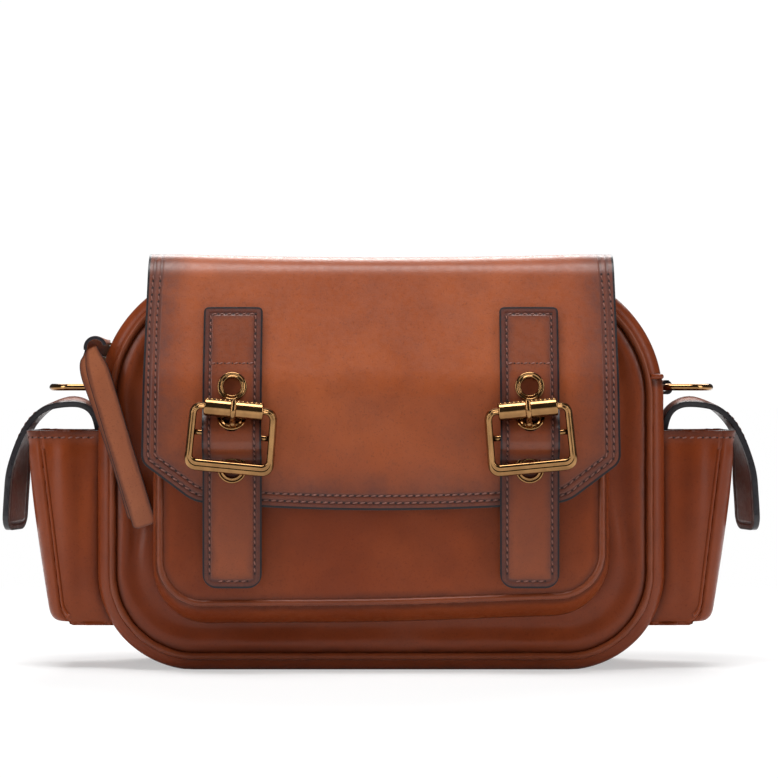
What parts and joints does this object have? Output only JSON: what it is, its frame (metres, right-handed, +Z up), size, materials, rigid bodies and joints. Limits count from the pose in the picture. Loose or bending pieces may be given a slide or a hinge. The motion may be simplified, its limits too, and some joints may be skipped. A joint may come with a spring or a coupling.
{
  "type": "sling bag",
  "caption": "Leather sling bag with buckled front flap, open top zip, front and side pockets, and side D-rings for a shoulder strap.",
  "frame": {"origin": "middle of the flat base of the main compartment, on the floor", "axes": "+X to the bag's right as seen from the front, -Y out of the front, +Z up"},
  "size_m": [0.321, 0.1201, 0.179],
  "materials": {
    "flap_leather": "saddle leather, burnished edges",
    "strap_leather": "saddle leather, burnished edges",
    "body_leather": "smooth brown leather",
    "trim_leather": "dark brown leather",
    "lining_cloth": "woven cotton lining",
    "zip_cloth": "woven zip tape",
    "buckle_metal": "dark polished gold plating",
    "zip_metal": "antique brass",
    "snap_metal": "plated magnetic snap"
  },
  "bodies": {
    "bag": {"back_panel": "body_leather", "back_piping": "trim_leather", "d_ring_tab_left": "trim_leather", "d_ring_tab_right": "trim_leather", "flap_rear": "flap_leather", "flap_rear_lining": "strap_leather", "front_panel": "body_leather", "front_piping": "trim_leather", "lining": "lining_cloth", "lower_gusset": "body_leather", "pocket_front": "body_leather", "pocket_gusset": "body_leather", "pocket_piping": "trim_leather", "pocket_snaps": "snap_metal", "side_pocket_face_left": "body_leather", "side_pocket_face_right": "body_leather", "side_pocket_gusset_left": "body_leather", "side_pocket_gusset_right": "body_leather", "side_strap_root_left": "strap_leather", "side_strap_root_right": "strap_leather", "upper_gusset_back": "body_leather", "upper_gusset_front": "body_leather", "zip_tape_back": "zip_cloth", "zip_tape_front": "zip_cloth", "zip_teeth_back": "zip_metal", "zip_teeth_front": "zip_metal"},
    "flap": {"flap": "flap_leather", "flap_lining": "strap_leather", "strap_left": "strap_leather", "strap_right": "strap_leather", "eyelets_left": "buckle_metal", "eyelets_right": "buckle_metal", "strap_snaps": "snap_metal", "buckle_frame_left": "buckle_metal", "buckle_frame_right": "buckle_metal", "buckle_chape_left": "strap_leather", "buckle_chape_right": "strap_leather"},
    "roller_left": {"buckle_roller_left": "buckle_metal"},
    "roller_right": {"buckle_roller_right": "buckle_metal"},
    "prong_left": {"buckle_prong_left": "buckle_metal"},
    "prong_right": {"buckle_prong_right": "buckle_metal"},
    "ring_left": {"d_ring_left": "buckle_metal"},
    "ring_right": {"d_ring_right": "buckle_metal"},
    "tongue_left": {"side_strap_tongue_left": "strap_leather"},
    "tongue_right": {"side_strap_tongue_right": "strap_leather"},
    "slider": {"zip_slider": "zip_metal", "zip_pull_loop": "strap_leather"},
    "pull": {"zip_pull": "strap_leather"}
  },
  "joints": [
    {"name": "flap_hinge", "type": "hinge", "parent": "bag", "child": "flap", "pos_m": [0, 0.0316, 0.179], "axis": [-1, 0, 0], "range_deg": [0, 150]},
    {"name": "roller_spin_left", "type": "hinge", "parent": "flap", "child": "roller_left", "pos_m": [-0.06164, -0.0726, 0.11255], "axis": [0.9954, 0, -0.0958], "continuous": true},
    {"name": "prong_hinge_left", "type": "hinge", "parent": "flap", "child": "prong_left", "pos_m": [-0.0627, -0.0673, 0.1015], "axis": [0.9954, 0, -0.0958], "range_deg": [0, 7]},
    {"name": "ring_hinge_left", "type": "hinge", "parent": "bag", "child": "ring_left", "pos_m": [-0.1247, 0, 0.1218], "axis": [0, 1, 0], "range_deg": [0, 85]},
    {"name": "tongue_fold_left", "type": "hinge", "parent": "bag", "child": "tongue_left", "pos_m": [-0.1485, 0, 0.11654], "axis": [0, 1, 0], "range_deg": [0, 100]},
    {"name": "roller_spin_right", "type": "hinge", "parent": "flap", "child": "roller_right", "pos_m": [0.06164, -0.0726, 0.11255], "axis": [0.9954, 0, 0.0958], "continuous": true},
    {"name": "prong_hinge_right", "type": "hinge", "parent": "flap", "child": "prong_right", "pos_m": [0.0627, -0.0673, 0.1015], "axis": [0.9954, 0, 0.0958], "range_deg": [0, 7]},
    {"name": "ring_hinge_right", "type": "hinge", "parent": "bag", "child": "ring_right", "pos_m": [0.1247, 0, 0.1218], "axis": [0, -1, 0], "range_deg": [0, 85]},
    {"name": "tongue_fold_right", "type": "hinge", "parent": "bag", "child": "tongue_right", "pos_m": [0.1485, 0, 0.11654], "axis": [0, -1, 0], "range_deg": [0, 100]},
    {"name": "zip_slide", "type": "hinge", "parent": "bag", "child": "slider", "pos_m": [-0.0635, 0, 0.116], "axis": [0, 1, 0], "range_deg": [0, 15]},
    {"name": "pull_fold", "type": "hinge", "parent": "slider", "child": "pull", "pos_m": [-0.11991, -0.0427, 0.13731], "axis": [-0.9781, 0, -0.2079], "range_deg": [0, 110]}
  ]
}
